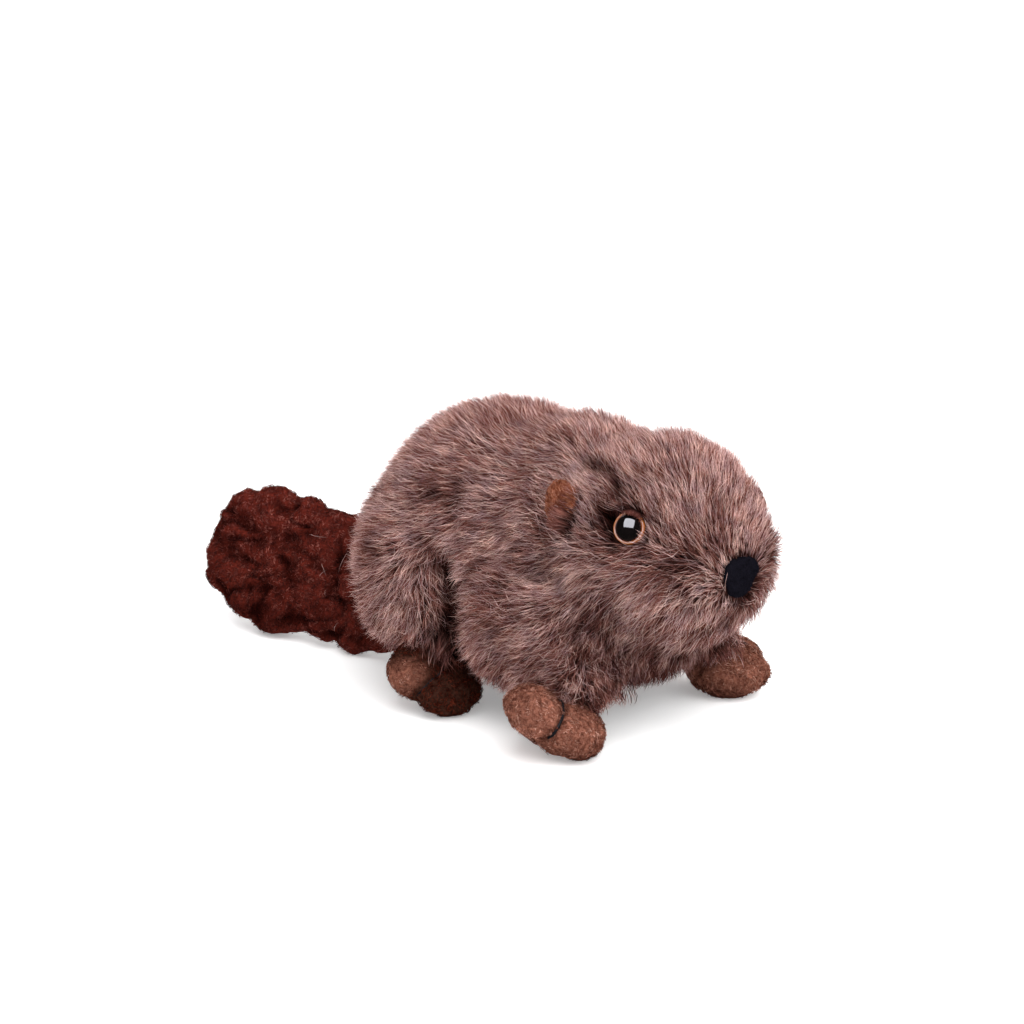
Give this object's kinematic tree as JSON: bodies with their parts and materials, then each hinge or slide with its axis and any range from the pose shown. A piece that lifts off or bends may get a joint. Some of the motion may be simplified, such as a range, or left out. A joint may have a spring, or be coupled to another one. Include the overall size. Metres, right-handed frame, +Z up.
{
  "type": "plush toy beaver",
  "caption": "Stuffed long-pile plush toy beaver standing on splayed paws, with a flat padded tail, small ears, plastic eyes and a fabric nose.",
  "frame": {"origin": "on the floor, under the middle of the toy's bounding box", "axes": "+X the way the toy faces, from tail to nose; +Y its left; +Z up"},
  "size_m": [0.2752, 0.14, 0.1113],
  "materials": {
    "long_plush": "frosted taupe-brown long pile with dark roots and pale tips",
    "short_plush": "reddish-brown short napped pile",
    "tail_plush": "dark reddish-brown puffed curly pile",
    "eye_plastic": "glossy dome, black pupil with a thin amber ring",
    "nose_fabric": "near-black short woven fabric",
    "thread": "black stitching thread for the toe lines"
  },
  "bodies": {
    "root": {"trunk": "long_plush", "head": "long_plush", "haunch_left": "long_plush", "haunch_right": "long_plush", "front_leg_left": "long_plush", "front_leg_right": "long_plush", "front_paw_left": "short_plush", "front_paw_right": "short_plush", "hind_foot_left": "short_plush", "hind_foot_right": "short_plush", "ear_left": "short_plush", "ear_right": "short_plush", "tail": "tail_plush", "eye_left": "eye_plastic", "eye_right": "eye_plastic", "nose": "nose_fabric"}
  },
  "joints": []
}
